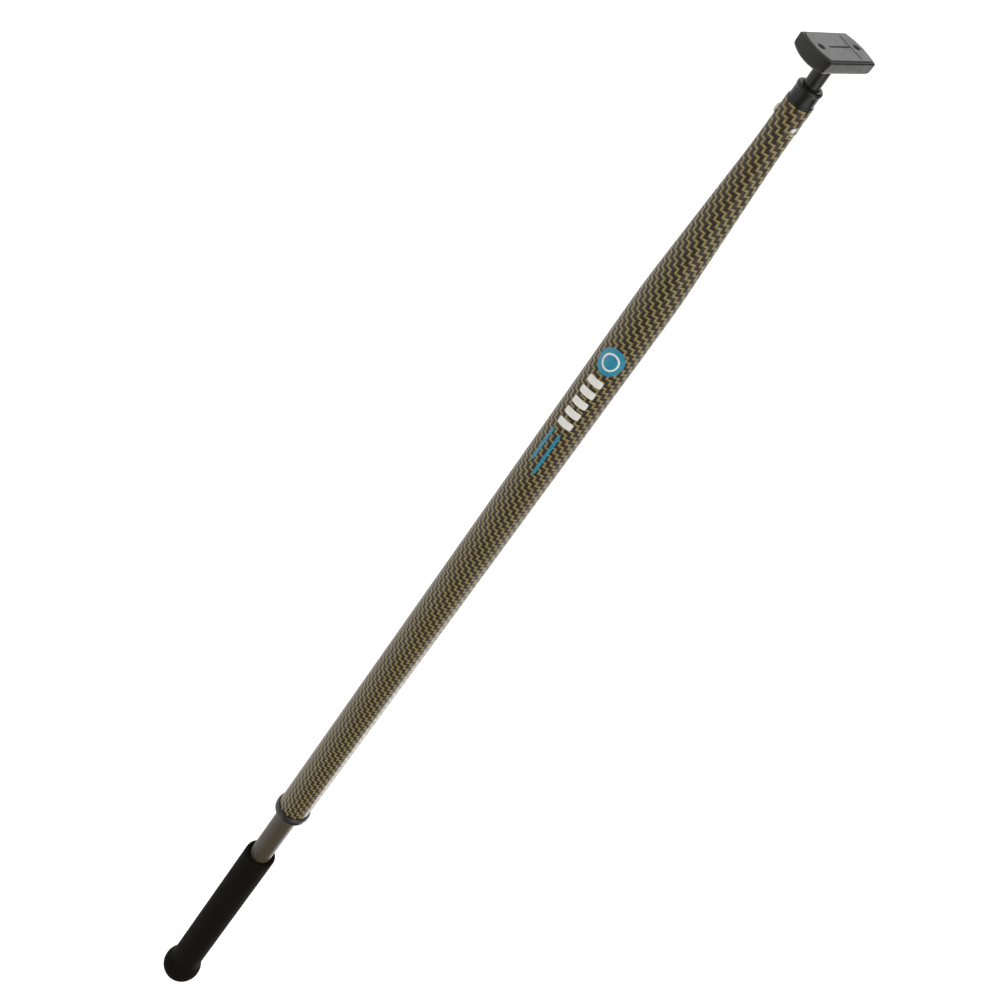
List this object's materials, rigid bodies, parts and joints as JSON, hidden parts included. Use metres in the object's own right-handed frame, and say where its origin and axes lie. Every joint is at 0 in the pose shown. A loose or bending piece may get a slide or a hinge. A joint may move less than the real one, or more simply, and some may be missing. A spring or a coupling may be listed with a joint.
{
  "type": "telescopic tiller extension",
  "caption": "Telescopic tiller extension: flexible rubber joint block, tapered woven outer tube, sliding inner tube with twist lock and a soft grip with a ball end.",
  "frame": {"origin": "midway between the two screw holes, in the mounting face", "axes": "+X along the pole from the mounting face to the ball end, +Y along the two screw holes, +Z across the width of the block"},
  "size_m": [1.0054, 0.0436, 0.0324],
  "materials": {
    "block_rubber": "matte moulded",
    "plate_plastic": "satin moulded",
    "neck_rubber": "matte moulded",
    "plug_plastic": "satin moulded",
    "rivet_alloy": "satin",
    "steel": "plain",
    "woven_laminate": "clear lacquer over a gold and black twill weave",
    "trim_blue": "printed film",
    "trim_white": "printed film",
    "collar_plastic": "satin moulded",
    "slide_plastic": "smooth",
    "seal_rubber": "smooth",
    "cam_plastic": "smooth",
    "lock_plastic": "smooth",
    "inner_alloy": "matte anodised",
    "grip_rubber": "matte moulded"
  },
  "bodies": {
    "joint_base": {"joint_block": "block_rubber", "mounting_plate": "plate_plastic"},
    "rubber_neck": {"neck": "neck_rubber"},
    "outer_pole": {"neck_tail": "neck_rubber", "stem_plug": "plug_plastic", "plug_rivets": "rivet_alloy", "rivet_mandrels": "steel", "outer_tube": "woven_laminate", "trim_disc": "trim_blue", "trim_bars": "trim_white", "trim_lines": "trim_blue", "collar": "collar_plastic", "guide_bush": "slide_plastic", "wiper_ring": "seal_rubber"},
    "glide": {"glide_ring": "slide_plastic"},
    "inner_pole": {"inner_tube": "inner_alloy", "lock_plug": "lock_plastic", "lock_pins": "steel", "cam_washer": "steel", "cam_screw": "steel", "end_plug": "lock_plastic", "grip": "grip_rubber"},
    "lock_cam": {"cam_ring": "cam_plastic"}
  },
  "joints": [
    {"name": "neck_pitch", "type": "hinge", "parent": "joint_base", "child": "rubber_neck", "pos_m": [0.01425, 0, 0], "axis": [0, 1, 0], "range_deg": [-65, 65], "stiffness_Nm_per_rad": 1, "deforming": ["neck"]},
    {"name": "neck_yaw", "type": "hinge", "parent": "rubber_neck", "child": "outer_pole", "pos_m": [0.02095, 0, 0], "axis": [0, 0, 1], "range_deg": [-65, 65], "stiffness_Nm_per_rad": 1, "deforming": ["neck"]},
    {"name": "telescope_slide", "type": "slide", "parent": "outer_pole", "child": "glide", "axis": [1, 0, 0], "range_m": [-0.0633, 0.359]},
    {"name": "twist_lock", "type": "hinge", "parent": "glide", "child": "inner_pole", "pos_m": [0.2913, 0, 0], "axis": [1, 0, 0], "range_deg": [-24, 24]},
    {"name": "cam_turn", "type": "hinge", "parent": "inner_pole", "child": "lock_cam", "pos_m": [0.2783, 0, 0.0009], "axis": [1, 0, 0], "range_deg": [-24, 24]}
  ],
  "couplings": [
    {"joint": "cam_turn", "follows": "twist_lock", "ratio": -1}
  ]
}
